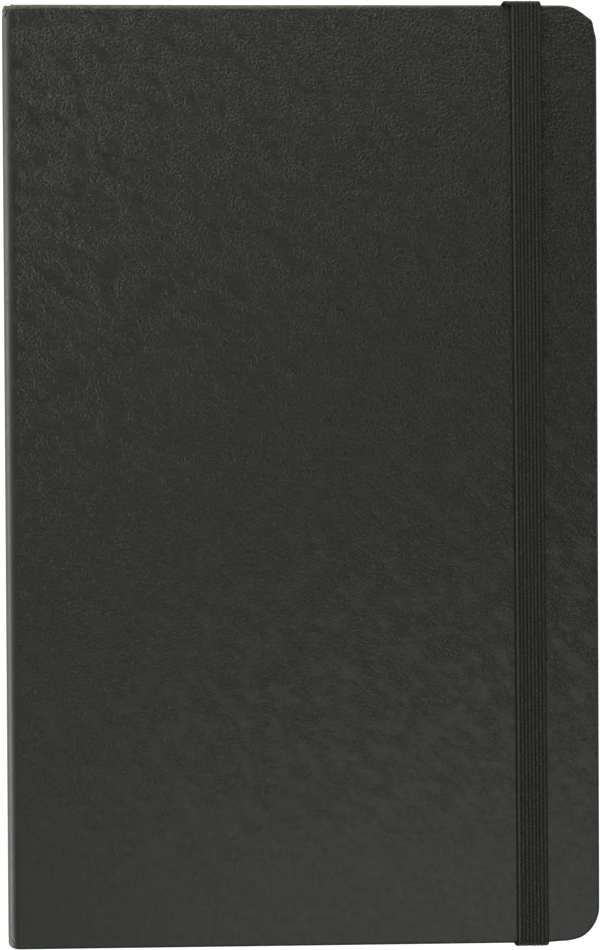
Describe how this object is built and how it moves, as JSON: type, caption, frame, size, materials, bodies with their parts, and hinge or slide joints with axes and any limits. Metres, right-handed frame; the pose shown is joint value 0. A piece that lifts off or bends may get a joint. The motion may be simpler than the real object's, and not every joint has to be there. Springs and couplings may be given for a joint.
{
  "type": "pocket notebook",
  "caption": "Hard-cover pocket notebook in dark leatherette with a sewn page block, rounded fore-edge corners and a ribbed elastic closure.",
  "frame": {"origin": "bottom centre of the closed notebook as it lies on its back cover", "axes": "+X from the spine to the fore-edge, +Y from the tail to the head, +Z from the back cover to the front cover"},
  "size_m": [0.09, 0.1438, 0.0141],
  "materials": {
    "leatherette": "fine pebbled, satin, near-black grey",
    "greyboard": "raw pressed board",
    "endpaper": "smooth heavy ivory paper",
    "paper": "uncoated ivory writing paper",
    "pocket_card": "smooth ivory card",
    "gusset_cloth": "black book cloth",
    "mull": "open-weave starched cloth",
    "thread": "waxed linen thread",
    "elastic": "ribbed woven elastic, near-black"
  },
  "bodies": {
    "back_cover": {"back_board": "greyboard", "back_cover_leatherette": "leatherette", "back_pastedown": "endpaper", "pocket_panel": "pocket_card", "pocket_head_gusset": "gusset_cloth", "pocket_tail_gusset": "gusset_cloth", "rear_flyleaf": "endpaper", "signature_01": "paper", "signature_02": "paper", "signature_03": "paper", "signature_04": "paper", "signature_05": "paper", "signature_06": "paper", "rear_spine_mull": "mull", "rear_sewing_thread": "thread", "back_joint_leatherette": "leatherette", "elastic_head_end": "elastic", "elastic_tail_end": "elastic"},
    "spine": {"spine_card_strip": "greyboard", "spine_leatherette": "leatherette"},
    "front_cover": {"front_board": "greyboard", "front_cover_leatherette": "leatherette", "front_pastedown": "endpaper", "front_joint_leatherette": "leatherette"},
    "front_pages": {"front_flyleaf": "endpaper", "signature_07": "paper", "signature_08": "paper", "signature_09": "paper", "signature_10": "paper", "signature_11": "paper", "signature_12": "paper", "front_spine_mull": "mull", "front_sewing_thread": "thread"},
    "elastic": {"elastic_front_run": "elastic"}
  },
  "joints": [
    {"name": "cover_opening", "type": "hinge", "parent": "back_cover", "child": "spine", "pos_m": [-0.043, 0, 0.002], "axis": [0, -1, 0], "range_deg": [0, 89.9], "deforming": ["back_joint_leatherette"]},
    {"name": "front_cover_fold", "type": "hinge", "parent": "spine", "child": "front_cover", "pos_m": [-0.043, 0, 0.0115], "axis": [0, -1, 0], "range_deg": [0, 89.9], "deforming": ["front_joint_leatherette"]},
    {"name": "page_turn", "type": "hinge", "parent": "back_cover", "child": "front_pages", "pos_m": [-0.0421, 0, 0.0072], "axis": [0, -1, 0], "range_deg": [0, 179.8]},
    {"name": "elastic_to_back", "type": "hinge", "parent": "back_cover", "child": "elastic", "pos_m": [0.03445, 0, 0.00675], "axis": [0, 1, 0], "range_deg": [0, 179.8], "deforming": ["elastic_front_run", "elastic_head_end", "elastic_tail_end"]}
  ],
  "couplings": [
    {"joint": "front_cover_fold", "follows": "cover_opening", "ratio": 1},
    {"joint": "page_turn", "follows": "cover_opening", "ratio": 2},
    {"joint": "elastic_to_back", "follows": "cover_opening", "ratio": 2}
  ]
}
